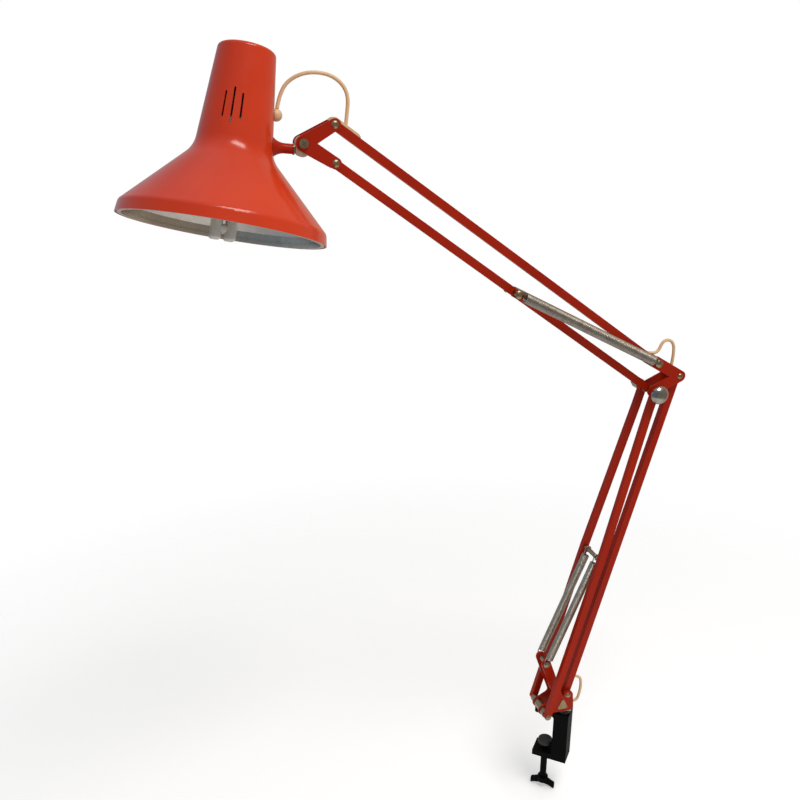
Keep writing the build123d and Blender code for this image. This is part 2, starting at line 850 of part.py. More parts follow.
reflector_bend = reflector_top - reflector_step
skirt_wall = shade_wall * sqrt(1 + skirt_lean ** 2)
groove_low = reflector_low + lip_height
groove_high = groove_low + groove_height
with BuildPart() as reflector:
    with BuildSketch(profile_plane):
        with BuildLine() as reflector_line:
            Polyline(
                (shade_radius(reflector_low) - skirt_wall - side_clearance, reflector_low),
                (shade_radius(reflector_low) - lip_inset, reflector_low),
                (shade_radius(groove_low) - lip_inset, groove_low),
                (shade_radius(groove_low) - groove_inset, groove_low),
                (shade_radius(groove_high) - groove_inset, groove_high),
                (reflector_radius(groove_high) - reflector_wall, groove_high),
                (reflector_radius(skirt_height) - reflector_wall, skirt_height),
                (reflector_radius(reflector_step_height), reflector_step_height),
                (reflector_radius(reflector_step_height) - reflector_step, reflector_step_height),
                (reflector_radius(reflector_bend) - reflector_step, reflector_bend),
                (reflector_throat_radius, reflector_top),
            )
        trace(reflector_line.line, line_width=reflector_wall)
    revolve(axis=shade_turn)
save(reflector, "reflector")

# Lampholder under the crown, its ring and the compact lamp
holder_top = neck_top_height - shade_wall / 2 - fixed_clearance
holder_bottom = holder_top - holder_height


def shade_level(height):
    """A plane square to the shade axis at a height above the rim."""
    return shade_plane.offset(height)


with BuildPart() as lampholder:
    with BuildSketch(shade_level(holder_bottom)):
        Circle(holder_radius)
    extrude(amount=holder_height)
    chamfer(lampholder.edges().sort_by(shade_turn)[-1], holder_cap_height / 2)
    with BuildSketch(shade_level(holder_bottom)):
        Circle(lamp_cap_radius + fixed_clearance)
    extrude(amount=holder_height - 2 * holder_cap_height, mode=Mode.SUBTRACT)
save(lampholder, "lampholder")

with BuildPart() as lampholder_ring:
    with BuildSketch(shade_level(holder_bottom + holder_cap_height)):
        Circle(ring_radius)
        Circle(holder_radius + fixed_clearance, mode=Mode.SUBTRACT)
    extrude(amount=ring_height)
save(lampholder_ring, "lampholder_ring")

lamp_top = holder_bottom - fixed_clearance
lamp_bottom = lamp_top - lamp_base_height
with BuildPart() as lamp_base:
    with BuildSketch(shade_level(lamp_bottom)):
        Circle(lamp_base_radius)
    extrude(amount=lamp_base_height)
    chamfer(lamp_base.edges().sort_by(shade_turn)[-1], lamp_base_radius - lamp_cap_radius - bar_wall)
    with BuildSketch(shade_level(lamp_top)):
        Circle(lamp_cap_radius)
    extrude(amount=holder_height - 3 * holder_cap_height)
save(lamp_base, "lamp_base")

tube_length = lamp_bottom - fixed_clearance - tube_tip
with BuildPart() as lamp_tubes:
    with BuildSketch(shade_level(lamp_bottom - fixed_clearance)):
        with GridLocations(tube_spacing, tube_spacing, 2, 2):
            Circle(tube_radius)
    extrude(amount=-tube_length)
    fillet(lamp_tubes.edges().group_by(shade_turn)[0], tube_tip_round)
    for row in (-1, 1):
        bridge_start = shade_level(tube_tip + 2 * tube_radius).origin
        bridge_start += (shade_plane.y_dir * row - shade_out) * tube_spacing / 2
        with BuildSketch(Plane(bridge_start, z_dir=shade_out)):
            Circle(tube_bridge_radius)
        extrude(amount=tube_spacing)
save(lamp_tubes, "lamp_tubes")

# Cord gland on the neck
gland_centre = around_shade(0, gland_level, gland_seat + gland_radius - gland_sink)
with BuildPart() as cord_gland:
    with Locations(gland_centre.origin):
        Sphere(gland_radius)
    with BuildSketch(profile_plane):
        with BuildLine():
            Polyline(
                (0, neck_base_height),
                (neck_base_radius + seat_gap, neck_base_height),
                (neck_top_radius + seat_gap, neck_top_height),
                (0, neck_top_height),
                close=True,
            )
        make_face()
    revolve(axis=shade_turn, mode=Mode.SUBTRACT)
    with BuildSketch(gland_centre):
        Circle(gland_stub_radius)
    extrude(amount=gland_sink - gland_radius - 3 * shade_wall)
save(cord_gland, "cord_gland")

# Cable guide clipped over the head end of the top bar
top_along = (-upper_cos, -upper_sin)
top_across = (upper_sin, -upper_cos)


def along_top(start, distance, rise):
    """A point of the arm plane beside the top bar: distance from start towards the elbow, rise above."""
    return shift(
        start,
        top_along[0] * distance + top_across[0] * rise,
        top_along[1] * distance + top_across[1] * rise,
    )


guide_outer = bar_height / 2 + guide_thickness
cord_entry = along_top(fork_top, guide_entry, guide_outer - guide_thickness / 2)
cord_way = Vector(sin(radians(cord_lean)), 0, cos(radians(cord_lean)))
with BuildPart() as cable_guide:
    with BuildSketch(arm_plane(0)):
        bar_slot(fork_top, along_top(fork_top, guide_length, 0), 2 * guide_outer)
        middle, length, angle = span(fork_top, elbow_top)
        with Locations(middle):
            SlotCenterToCenter(length, bar_height + 2 * fixed_clearance, rotation=angle, mode=Mode.SUBTRACT)
        with Locations(along_top(middle, 0, -length / 2)):
            Rectangle(2 * length, length, rotation=angle, mode=Mode.SUBTRACT)
    extrude(amount=guide_width / 2, both=True)
    plug_half = bar_width / 2 - bar_wall - fixed_clearance
    with BuildSketch(arm_plane(0)):
        plug_rise = bar_height / 2 - guide_thickness / 2
        with Locations(along_top(fork_top, guide_entry + guide_thickness, plug_rise)):
            Rectangle(guide_length / 2, 2 * guide_thickness, rotation=angle)
    extrude(amount=plug_half, both=True)
    with BuildSketch(Plane(origin=arm_point(cord_entry) - cord_way * guide_thickness, z_dir=cord_way)):
        Circle(cord_radius + pin_clearance)
    extrude(amount=3 * guide_thickness, mode=Mode.SUBTRACT)
save(cable_guide, "cable_guide")

# Plug in the foot of the rear bar where the cord leaves it, snapped through the bar's back
rear_along = (lower_cos, lower_sin)
rear_across = (lower_sin, -lower_cos)


def along_rear(start, distance, out):
    """A point of the arm plane beside the rear bar: distance up from start, out to its open side."""
    return shift(
        start,
        rear_along[0] * distance + rear_across[0] * out,
        rear_along[1] * distance + rear_across[1] * out,
    )


with BuildPart() as rear_guide:
    with BuildSketch(arm_plane(0)):
        with Locations(along_rear(rear_pivot, guide_length, bar_wall / 2 + fixed_clearance)):
            Rectangle(guide_length / 2, bar_height - bar_wall, rotation=lower_angle)
    extrude(amount=plug_half, both=True)
save(rear_guide, "rear_guide")

# Saddle between the elbow plates that holds the end of the elbow loop
saddle_way = Vector(sin(radians(saddle_lean)), 0, cos(radians(saddle_lean)))
saddle_mouth = arm_point(shift(elbow_top, saddle_x, saddle_z))
with BuildPart() as elbow_saddle:
    with BuildSketch(arm_plane(0)):
        with Locations(shift(elbow_top, saddle_x, saddle_z)):
            RectangleRounded(saddle_size, saddle_size, saddle_size / 4)
    extrude(amount=elbow_plate_inner - fixed_clearance, both=True)
    with BuildSketch(Plane(origin=saddle_mouth, z_dir=saddle_way)):
        Circle(cord_radius + pin_clearance)
    extrude(amount=saddle_size, mode=Mode.SUBTRACT)
save(elbow_saddle, "elbow_saddle")

with BuildPart() as base_grommet:
    grommet_face = swivel_x + spindle_block_length / 2
    grommet_level = block_bottom + spindle_block_height * 0.6
    grommet_seat = (grommet_face + fixed_clearance, swivel_y, grommet_level)
    with BuildSketch(Plane(origin=grommet_seat, z_dir=(1, 0, 0))):
        Circle(2 * cord_radius)
    extrude(amount=guide_thickness)
save(base_grommet, "base_grommet")


def cord_tube(label, points):
    """A cord through its points: straight runs joined by the largest arcs that they allow."""
    radii = []
    for before, corner, after in zip(points, points[1:], points[2:]):
        shorter = min((corner - before).length, (after - corner).length)
        half_turn = radians((corner - before).get_angle(after - corner)) / 2
        radii.append(arc_share * shorter / tan(half_turn))
    with BuildPart() as tube:
        with BuildLine() as route:
            if radii:
                FilletPolyline(*points, radius=radii)
            else:
                Line(*points)
        with BuildSketch(Plane(origin=points[0], z_dir=points[1] - points[0])) as section:
            Circle(cord_radius)
        sweep(section.sketch, path=route.wire())
    save(tube, label)
    length = route.wire().length
    print(label, "length", round(length, 1), "radii", [round(radius, 1) for radius in radii])
    print(label, "volume over section times length", tube.part.volume / (length * pi * cord_radius ** 2))


def middle_of(a, b):
    return (a + b) * 0.5


# Runs of cord that lie in the bars' channels
cord_lift = bar_wall / 2
top_cord_start = along_top(fork_top, guide_length + side_clearance, cord_lift)
top_cord_end = along_top(elbow_top, -cord_end_margin, cord_lift)
cord_tube("top_cord", [arm_point(top_cord_start), arm_point(top_cord_end)])
rear_cord_start = along_rear(rear_pivot, guide_length * 1.25 + side_clearance, cord_lift)
rear_cord_end = along_rear(elbow_rear, -cord_end_margin / 2, cord_lift)
cord_tube("rear_cord", [arm_point(rear_cord_start), arm_point(rear_cord_end)])

# Loop from the shade to the top bar, in three stretches that meet end to end
gland_top = gland_centre.origin + shade_axis * (gland_radius + fixed_clearance)
head_route = [gland_top, gland_top + shade_axis * gland_height]
head_route += [
    arm_point(shift(head_pivot, x, z), -far)
    for x, z, far in (
        (-11.6, 49.2, 8.2),
        (0.0, 56.6, 5.6),
        (13.0, 58.8, 3.6),
        (27.0, 56.6, 1.8),
        (37.5, 49.4, 0.7),
        (42.6, 38.6, 0.2),
    )
]
head_route.append(arm_point(cord_entry) + cord_way * guide_entry)
head_route.append(arm_point(cord_entry))
first_joint = middle_of(head_route[3], head_route[4])
second_joint = middle_of(head_route[6], head_route[7])
cord_tube("head_cord_shade", head_route[:4] + [first_joint])
cord_tube("head_cord_middle", [first_joint] + head_route[4:7] + [second_joint])
cord_tube("head_cord_bar", [second_joint] + head_route[7:])

elbow_route = [
    arm_point(top_cord_end),
    arm_point(along_top(elbow_top, -cord_end_margin + gland_height, cord_lift)),
]
elbow_route += [
    arm_point(shift(elbow_top, x, z))
    for x, z in (
        (0.5, 7.0),
        (7.4, 9.2),
        (11.4, 19.0),
        (17.0, 21.2),
        (23.2, 18.8),
        (26.6, 11.0),
    )
]
elbow_route += [saddle_mouth + saddle_way * saddle_size, saddle_mouth]
cord_tube("elbow_cord", elbow_route)

rear_exit = bar_height / 2 + 2 * fixed_clearance
base_route = [
    arm_point(along_rear(rear_pivot, guide_length, rear_exit)),
    arm_point(along_rear(rear_pivot, guide_length, rear_exit + gland_height)),
]
base_route += [arm_point(shift(rear_pivot, x, z)) for x, z in ((20.4, 11.4), (20.6, 1.0), (19.2, -8.0))]
grommet_end = grommet_face + 2 * fixed_clearance + guide_thickness
base_route.append(Vector(grommet_end + gland_height, swivel_y, grommet_level))
base_route.append(Vector(grommet_end, swivel_y, grommet_level))
cord_tube("base_cord", base_route)


def biarc(start, start_way, end, end_way):
    """Two arcs that leave start and reach end along the given ways."""
    chord = end - start
    ways = start_way + end_way
    spread = 2 * (1 - start_way.dot(end_way))
    reach = (sqrt(chord.dot(ways) ** 2 + spread * chord.dot(chord)) - chord.dot(ways)) / spread
    first = start + start_way * reach
    last = end - end_way * reach
    joint = (first + last) * 0.5
    return (start, joint, start_way), (joint, end, (last - first).normalized())


def tension_spring(label, start, end, radius):
    """A wound spring with straight tails on its axis, one tube from pin to pin."""
    axis = (end - start).normalized()
    side = Vector(0, 1, 0)
    lift = axis.cross(side)
    length = (end - start).length
    coil = length - 2 * spring_tail
    climb = coil / spring_turns
    rate = 2 * pi * radius

    def on_coil(turn):
        angle = 2 * pi * turn
        spoke = side * cos(angle) + lift * sin(angle)
        way = lift * cos(angle) - side * sin(angle)
        point = start + axis * (spring_tail + climb * turn) + spoke * radius
        return point, (way * rate + axis * climb).normalized()

    tail = pin_radius + side_clearance
    bend = spring_tail - 2 * radius
    stations = [(start + axis * bend, axis)]
    stations += [on_coil(half / 2) for half in range(2 * spring_turns + 1)]
    stations.append((end - axis * bend, axis))
    with BuildPart() as spring:
        with BuildLine() as wire:
            Line(start + axis * tail, stations[0][0])
            for (point, way), (next_point, next_way) in zip(stations, stations[1:]):
                for arc_start, arc_end, arc_way in biarc(point, way, next_point, next_way):
                    TangentArc(arc_start, arc_end, tangent=arc_way)
            Line(stations[-1][0], end - axis * tail)
        with BuildSketch(Plane(origin=start + axis * tail, z_dir=axis)) as section:
            Circle(wire_radius)
        sweep(section.sketch, path=wire.wire())
    save(spring, label)
    steps = [step / gap_steps for step in range(gap_steps // 2, 2 * gap_steps)]
    least = min((on_coil(step)[0] - on_coil(0)[0]).length for step in steps)
    print(label, "least gap to itself", round(least - 2 * wire_radius, 2))


for name, side in (("near", 1), ("far", -1)):
    tension_spring(
        f"lower_spring_{name}",
        arm_point(lug_pivot, side * lower_spring_offset),
        arm_point(lower_spring_pivot, side * lower_spring_offset),
        lower_spring_radius,
    )
    tension_spring(
        f"upper_spring_{name}",
        arm_point(elbow_top, side * upper_spring_offset),
        arm_point(upper_spring_pivot, side * upper_spring_offset),
        upper_spring_radius,
    )
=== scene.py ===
import json
from math import pi, radians
import bpy
import numpy as np
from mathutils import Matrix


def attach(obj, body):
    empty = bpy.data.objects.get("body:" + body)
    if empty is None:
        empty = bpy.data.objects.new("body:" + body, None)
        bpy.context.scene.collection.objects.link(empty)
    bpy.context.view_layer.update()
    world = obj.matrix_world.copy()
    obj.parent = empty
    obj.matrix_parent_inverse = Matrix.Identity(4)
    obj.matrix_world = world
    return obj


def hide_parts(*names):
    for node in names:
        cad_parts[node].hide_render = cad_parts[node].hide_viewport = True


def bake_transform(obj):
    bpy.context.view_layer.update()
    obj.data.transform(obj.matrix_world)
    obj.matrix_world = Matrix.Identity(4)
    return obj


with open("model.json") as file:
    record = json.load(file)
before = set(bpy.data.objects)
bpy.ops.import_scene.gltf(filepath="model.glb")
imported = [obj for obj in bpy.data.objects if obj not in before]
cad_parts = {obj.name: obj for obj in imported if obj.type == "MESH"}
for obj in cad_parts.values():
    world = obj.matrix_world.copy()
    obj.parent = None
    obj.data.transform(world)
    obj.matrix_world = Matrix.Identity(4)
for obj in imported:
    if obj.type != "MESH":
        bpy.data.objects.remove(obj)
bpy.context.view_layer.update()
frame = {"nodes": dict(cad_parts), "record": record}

scene = bpy.context.scene
nodes_by_name = frame["nodes"]

# Camera at the photograph's viewing angle: lens and sensor in millimetres, turns in degrees
LENS = 39.07
SENSOR_WIDTH = 36.0
NEAREST_SEEN = 0.01
CAMERA_PLACE = (-0.41514, -0.80013, 0.71048)
CAMERA_DOWN = 19.26
CAMERA_RIGHT = 15.83
camera_data = bpy.data.cameras.new("photo_camera")
camera_data.lens = LENS
camera_data.sensor_width = SENSOR_WIDTH
camera_data.clip_start = NEAREST_SEEN
camera = bpy.data.objects.new("photo_camera", camera_data)
camera.location = CAMERA_PLACE
camera.rotation_euler = (radians(90 - CAMERA_DOWN), 0.0, radians(-CAMERA_RIGHT))
scene.collection.objects.link(camera)
scene.camera = camera


def srgb(red, green, blue):
    """Linear colour of a display colour in 0 to 255: the inverse of the sRGB curve."""
    channel = np.array([red, green, blue]) / 255.0
    linear = np.where(channel <= 0.04045, channel / 12.92, ((channel + 0.055) / 1.055) ** 2.4)
    return (*linear.tolist(), 1.0)


# Surfaces
def unit(vectors):
    """Vectors along the last axis, each divided by its length."""
    return vectors / np.linalg.norm(vectors, axis=-1, keepdims=True)


def grid_piece(name, points):
    """A mesh over a grid of rows and columns of points.

    Quads join each point to the next in its row and its column. The last column joins the first, and a
    polygon closes the first row and the last.
    """
    rows, columns = points.shape[:2]
    index = np.arange(rows * columns).reshape(rows, columns)
    beside = np.roll(index, -1, axis=1)
    quads = np.stack([index[:-1], beside[:-1], beside[1:], index[1:]], axis=-1).reshape(-1, 4)
    ends = [index[0, ::-1].tolist(), index[-1].tolist()]
    mesh = bpy.data.meshes.new(name)
    mesh.from_pydata(points.reshape(-1, 3), [], quads.tolist() + ends)
    mesh.polygons.foreach_set("use_smooth", np.ones(len(mesh.polygons), dtype=bool))
    piece = bpy.data.objects.new(name, mesh)
    scene.collection.objects.link(piece)
    return piece


def tube_points(path, side, radius, sides):
    """A circle carried along a path.

    At each point the circle lies square to the path's direction t. Its first axis n is the given side
    less its part along t, and its second is t crossed with n.
    """
    direction = unit(np.gradient(path, axis=0))
    along = np.sum(side * direction, axis=1, keepdims=True)
    first = unit(side - along * direction)
    second = np.cross(direction, first)
    angle = np.linspace(0, 2 * pi, sides, endpoint=False)[None, :, None]
    return path[:, None] + radius * (np.cos(angle) * first[:, None] + np.sin(angle) * second[:, None])


def mesh_points(mesh):
    """The mesh's points as an array of three columns."""
    points = np.empty(3 * len(mesh.vertices))
    mesh.vertices.foreach_get("co", points)
    return points.reshape(-1, 3)


def share_along(piece, start, end):
    """How far each point is on the way from start to end, held between 0 and 1.

    It is the dot product of the point less the start with the way, over that of the way with itself.
    """
    way = end - start
    return np.clip((mesh_points(piece.data) - start) @ way / (way @ way), 0, 1)


def blend_by_share(piece, share):
    """Stand each point of a piece on a unit line at its t, where 3 t^2 - 2 t^3 is the given share of the
    turn.

    The piece's transform is baked in while the points stand there, and then each goes back to its place.
    """
    places = mesh_points(piece.data)
    line = np.zeros(places.shape)
    line[:, 0] = 0.5 - np.sin(np.arcsin(1 - 2 * share) / 3)
    piece.data.vertices.foreach_set("co", line.ravel())
    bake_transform(piece)
    piece.data.vertices.foreach_set("co", places.ravel())
    piece.data.update()


# Cord: the routes' points are the model's own, in metres
CORD_DIAMETER = 0.0034
CORD_SIDES = 14
SPLINE_STEPS = 16
SPLINE_ORDER = 3
SAME_PLACE = 1e-6
ACROSS = np.array([0.0, 1.0, 0.0])
head_cord_shade_route = [
    (-0.3010, -0.0059, 0.7004),
    (-0.2993, -0.0043, 0.7080),
    (-0.2931, -0.0047, 0.7212),
    (-0.2815, -0.0073, 0.7286),
    (-0.2750, -0.0083, 0.7297),
]
head_cord_middle_route = [
    (-0.2750, -0.0083, 0.7297),
    (-0.2685, -0.0093, 0.7308),
    (-0.2545, -0.0111, 0.7286),
    (-0.2440, -0.0122, 0.7214),
    (-0.2414, -0.0124, 0.7160),
]
head_cord_bar_route = [
    (-0.2414, -0.0124, 0.7160),
    (-0.2389, -0.0127, 0.7106),
    (-0.2405, -0.0129, 0.6958),
    (-0.2419, -0.0129, 0.6859),
]
elbow_cord_route = [
    (0.0681, -0.0129, 0.4592),
    (0.0746, -0.0129, 0.4545),
    (0.0894, -0.0129, 0.4506),
    (0.0963, -0.0129, 0.4528),
    (0.1003, -0.0129, 0.4626),
    (0.1059, -0.0129, 0.4648),
    (0.1121, -0.0129, 0.4624),
    (0.1155, -0.0129, 0.4546),
    (0.1144, -0.0129, 0.4350),
    (0.1119, -0.0129, 0.4306),
]
base_cord_route = [
    (0.0249, -0.0129, 0.0525),
    (0.0326, -0.0129, 0.0504),
    (0.0357, -0.0129, 0.0437),
    (0.0359, -0.0129, 0.0333),
    (0.0345, -0.0129, 0.0243),
    (0.0321, -0.0129, 0.0157),
    (0.0241, -0.0129, 0.0157),
]
top_cord_route = [(-0.2345, -0.0129, 0.6750), (-0.0832, -0.0129, 0.5671), (0.0681, -0.0129, 0.4592)]
rear_cord_route = [(0.0230, -0.0129, 0.0590), (0.0704, -0.0129, 0.2356), (0.1177, -0.0129, 0.4122)]


def spline_line(name, route):
    """Points along the NURBS curve of third order whose control points are the route's."""
    curve = bpy.data.curves.new(name, "CURVE")
    curve.dimensions = "3D"
    curve.resolution_u = SPLINE_STEPS
    spline = curve.splines.new("NURBS")
    spline.points.add(len(route) - 1)
    weighted = np.column_stack([np.array(route), np.ones(len(route))])
    spline.points.foreach_set("co", weighted.ravel())
    spline.order_u = SPLINE_ORDER
    spline.use_endpoint_u = True
    holder = bpy.data.objects.new(name, curve)
    line = bpy.data.meshes.new_from_object(holder)
    points = mesh_points(line)
    bpy.data.objects.remove(holder)
    bpy.data.curves.remove(curve)
    bpy.data.meshes.remove(line)
    return points


def cord_piece(name, route):
    """A circle carried along the route's spline, with points that repeat the one before left out."""
    line = spline_line(name + "_line", route)
    steps = np.linalg.norm(np.diff(line, axis=0), axis=1)
    line = line[np.concatenate([[True], steps > SAME_PLACE])]
    side = np.broadcast_to(ACROSS, line.shape)
    piece = grid_piece(name + "_sheath", tube_points(line, side, CORD_DIAMETER / 2, CORD_SIDES))
    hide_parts(name)
    return piece


head_cord_shade = cord_piece("head_cord_shade", head_cord_shade_route)
head_cord_middle = cord_piece("head_cord_middle", head_cord_middle_route)
head_cord_bar = cord_piece("head_cord_bar", head_cord_bar_route)
elbow_cord = cord_piece("elbow_cord", elbow_cord_route)
base_cord = cord_piece("base_cord", base_cord_route)
top_cord = cord_piece("top_cord", top_cord_route)
rear_cord = cord_piece("rear_cord", rear_cord_route)
cords = [head_cord_shade, head_cord_middle, head_cord_bar, elbow_cord, base_cord, top_cord, rear_cord]
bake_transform(head_cord_shade)
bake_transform(head_cord_middle)
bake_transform(head_cord_bar)
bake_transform(elbow_cord)
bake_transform(base_cord)
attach(top_cord, "top_arm")
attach(rear_cord, "rear_arm")


# Springs: close wound wire with an open eye round a pin at each end, in metres
WIRE_RADIUS = 0.00062
WIRE_SIDES = 8
COIL_PITCH = 0.00128
STEPS_A_TURN = 20
EYE_RADIUS = 0.0033
EYE_TURN = radians(285)
EYE_STEPS = 28
EYE_CLEAR = 0.0042
TAIL = 0.0075
LEG_PULL = 1.2 * TAIL
LEG_STEPS = 14
LOWER_COIL_RADIUS = 0.0039
UPPER_COIL_RADIUS = 0.0047
LOWER_EASE = 0.38
UPPER_EASE = 0.035
LOWER_SPRING_OFFSET = 0.0101
UPPER_SPRING_OFFSET = 0.0149
ARM_Y = -0.01286
LUG = np.array([-0.01628, ARM_Y, 0.0832])
LOWER_SPRING_PIN = np.array([0.03704, ARM_Y, 0.21698])
ELBOW_TOP = np.array([0.08893, ARM_Y, 0.44365])
UPPER_SPRING_PIN = np.array([-0.07471, ARM_Y, 0.52737])


def eye_line(centre, along, lift):
    """An arc round a pin that ends above it and heads along the spring.

    Its points are centre + radius * (-cos a * along + sin a * lift).
    """
    angle = np.linspace(pi / 2 - EYE_TURN, pi / 2, EYE_STEPS)[:, None]
    spoke = -np.cos(angle) * along + np.sin(angle) * lift
    return centre + EYE_RADIUS * spoke, spoke


def leg_line(start, start_way, end, end_way):
    """A cubic Hermite curve between two points and the ways through them, less its two ends.

    The start and its way weigh 2 t^3 - 3 t^2 + 1 and t^3 - 2 t^2 + t, the end and its way 3 t^2 - 2 t^3
    and t^3 - t^2.
    """
    t = np.linspace(0, 1, LEG_STEPS)[1:-1, None]
    return (
        (2 * t**3 - 3 * t**2 + 1) * start
        + (t**3 - 2 * t**2 + t) * start_way
        + (3 * t**2 - 2 * t**3) * end
        + (t**3 - t**2) * end_way
    )


def spring_piece(name, start, end, coil_radius):
    """A wire tube along an eye, a leg, a helix, a leg and an eye.

    The helix is start + along * (tail + climb * turn) + coil_radius * (cos w * lift + sin w * across).
    There w is two pi times the turn, and a whole number of turns stand about one pitch apart.
    """
    along = unit(end - start)
    lift = np.cross(along, ACROSS)
    lift = lift * np.sign(lift[2])
    across = np.cross(along, lift)
    coil_length = np.linalg.norm(end - start) - 2 * TAIL
    turns = round(coil_length / COIL_PITCH)
    climb = coil_length / turns
    turn = np.linspace(0, turns, turns * STEPS_A_TURN + 1)[:, None]
    spoke = np.cos(2 * pi * turn) * lift + np.sin(2 * pi * turn) * across
    helix = start + along * (TAIL + climb * turn) + coil_radius * spoke
    first_eye, first_spoke = eye_line(start, along, lift)
    last_eye, last_spoke = eye_line(end, -along, lift)
    first_leg = leg_line(first_eye[-1], along * LEG_PULL, helix[0], across * LEG_PULL)
    last_leg = leg_line(helix[-1], across * LEG_PULL, last_eye[-1], along * LEG_PULL)
    path = np.concatenate([first_eye, first_leg, helix, last_leg, last_eye[::-1]])
    lifts = np.broadcast_to(lift, first_leg.shape)
    side = np.concatenate([first_spoke, lifts, spoke, lifts, last_spoke[::-1]])
    piece = grid_piece(name + "_winding", tube_points(path, side, WIRE_RADIUS, WIRE_SIDES))
    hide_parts(name)
    return piece


def turn_spring(piece, start, end, ease):
    """Work out each point's share of a joint's turn, one that keeps a spring nearly straight between its
    pins.

    A point at x of the way along the coil takes the share x (1 + ease) / (x + ease) of the turn. The eyes
    keep to their pins.
    """
    clear = EYE_CLEAR * unit(end - start)
    x = share_along(piece, start + clear, end - clear)
    blend_by_share(piece, x * (1 + ease) / (x + ease))


springs = []
for side_name, side in (("near", -1), ("far", 1)):
    lower_offset = side * LOWER_SPRING_OFFSET * ACROSS
    lower = spring_piece(
        "lower_spring_" + side_name,
        LUG + lower_offset,
        LOWER_SPRING_PIN + lower_offset,
        LOWER_COIL_RADIUS,
    )
    turn_spring(lower, LUG, LOWER_SPRING_PIN, LOWER_EASE)
    upper_offset = side * UPPER_SPRING_OFFSET * ACROSS
    upper = spring_piece(
        "upper_spring_" + side_name,
        ELBOW_TOP + upper_offset,
        UPPER_SPRING_PIN + upper_offset,
        UPPER_COIL_RADIUS,
    )
    turn_spring(upper, ELBOW_TOP, UPPER_SPRING_PIN, UPPER_EASE)
    springs += [lower, upper]


# Node groups shared by the finishes
def new_group(name, inputs, outputs):
    """An empty shader group with named sockets."""
    tree = bpy.data.node_groups.new(name, "ShaderNodeTree")
    for socket_name, kind, value in inputs:
        socket = tree.interface.new_socket(socket_name, in_out="INPUT", socket_type="NodeSocket" + kind)
        socket.default_value = value
    for socket_name, kind in outputs:
        tree.interface.new_socket(socket_name, in_out="OUTPUT", socket_type="NodeSocket" + kind)
    return tree, tree.nodes.new("NodeGroupInput"), tree.nodes.new("NodeGroupOutput")


def noise_on(tree, place, scale, detail, roughness=0.5):
    """Noise texture at a place socket, scale in features a metre."""
    texture = tree.nodes.new("ShaderNodeTexNoise")
    texture.inputs["Scale"].default_value = scale
    texture.inputs["Detail"].default_value = detail
    texture.inputs["Roughness"].default_value = roughness
    tree.links.new(place, texture.inputs["Vector"])
    return texture.outputs["Fac"]


def remapped(tree, value, low, high, to_low=0.0, to_high=1.0):
    """A value carried linearly from one range to another and held at its ends. A limit may be a socket."""
    remap = tree.nodes.new("ShaderNodeMapRange")
    limits = {"From Min": low, "From Max": high, "To Min": to_low, "To Max": to_high}
    for socket_name, limit in limits.items():
        if isinstance(limit, bpy.types.NodeSocket):
            tree.links.new(limit, remap.inputs[socket_name])
        else:
            remap.inputs[socket_name].default_value = limit
    tree.links.new(value, remap.inputs["Value"])
    return remap.outputs["Result"]


def joined(tree, operation, first, second, clamp=False):
    """Two values joined by an operation such as MAXIMUM."""
    step = tree.nodes.new("ShaderNodeMath")
    step.operation = operation
    step.use_clamp = clamp
    tree.links.new(first, step.inputs[0])
    tree.links.new(second, step.inputs[1])
    return step.outputs["Value"]


def plain_colour(tree, red, green, blue):
    """A colour node's output."""
    colour = tree.nodes.new("ShaderNodeRGB")
    colour.outputs["Color"].default_value = (red, green, blue, 1.0)
    return colour.outputs["Color"]


def mixed(tree, factor, first, second):
    """A mix of two colours, where factor, first and second are sockets."""
    mix = tree.nodes.new("ShaderNodeMix")
    mix.data_type = "RGBA"
    tree.links.new(factor, mix.inputs["Factor"])
    tree.links.new(first, mix.inputs["A"])
    tree.links.new(second, mix.inputs["B"])
    return mix.outputs["Result"]


def bumped(tree, height, strength, distance):
    """A normal from a height, where strength is a socket and distance is in metres."""
    bump = tree.nodes.new("ShaderNodeBump")
    bump.inputs["Distance"].default_value = distance
    tree.links.new(strength, bump.inputs["Strength"])
    tree.links.new(height, bump.inputs["Height"])
    return bump.outputs["Normal"]


def enamel_group():
    """Sprayed paint: slow drifts of tone, dust specks and a fine orange peel."""
    tree, given, result = new_group(
        "sprayed_enamel",
        [
            ("Colour", "Color", (0.5, 0.1, 0.05, 1.0)),
            ("Deep Colour", "Color", (0.4, 0.07, 0.04, 1.0)),
            ("Gloss Low", "Float", 0.2),
            ("Gloss High", "Float", 0.3),
            ("Peel", "Float", 0.1),
        ],
        [("Colour", "Color"), ("Roughness", "Float"), ("Normal", "Vector")],
    )
    place = tree.nodes.new("ShaderNodeTexCoord").outputs["Object"]
    drift = remapped(tree, noise_on(tree, place, scale=14.0, detail=3.0), 0.35, 0.7)
    speck = remapped(tree, noise_on(tree, place, scale=520.0, detail=2.0), 0.7, 0.76, to_high=0.6)
    worn = joined(tree, "MAXIMUM", drift, speck)
    tree.links.new(
        mixed(tree, worn, given.outputs["Colour"], given.outputs["Deep Colour"]),
        result.inputs["Colour"],
    )
    smear = noise_on(tree, place, scale=60.0, detail=4.0, roughness=0.65)
    tree.links.new(
        remapped(tree, smear, 0.3, 0.7, given.outputs["Gloss Low"], given.outputs["Gloss High"]),
        result.inputs["Roughness"],
    )
    peel = noise_on(tree, place, scale=900.0, detail=1.0)
    tree.links.new(bumped(tree, peel, given.outputs["Peel"], distance=0.0003), result.inputs["Normal"])
    return tree


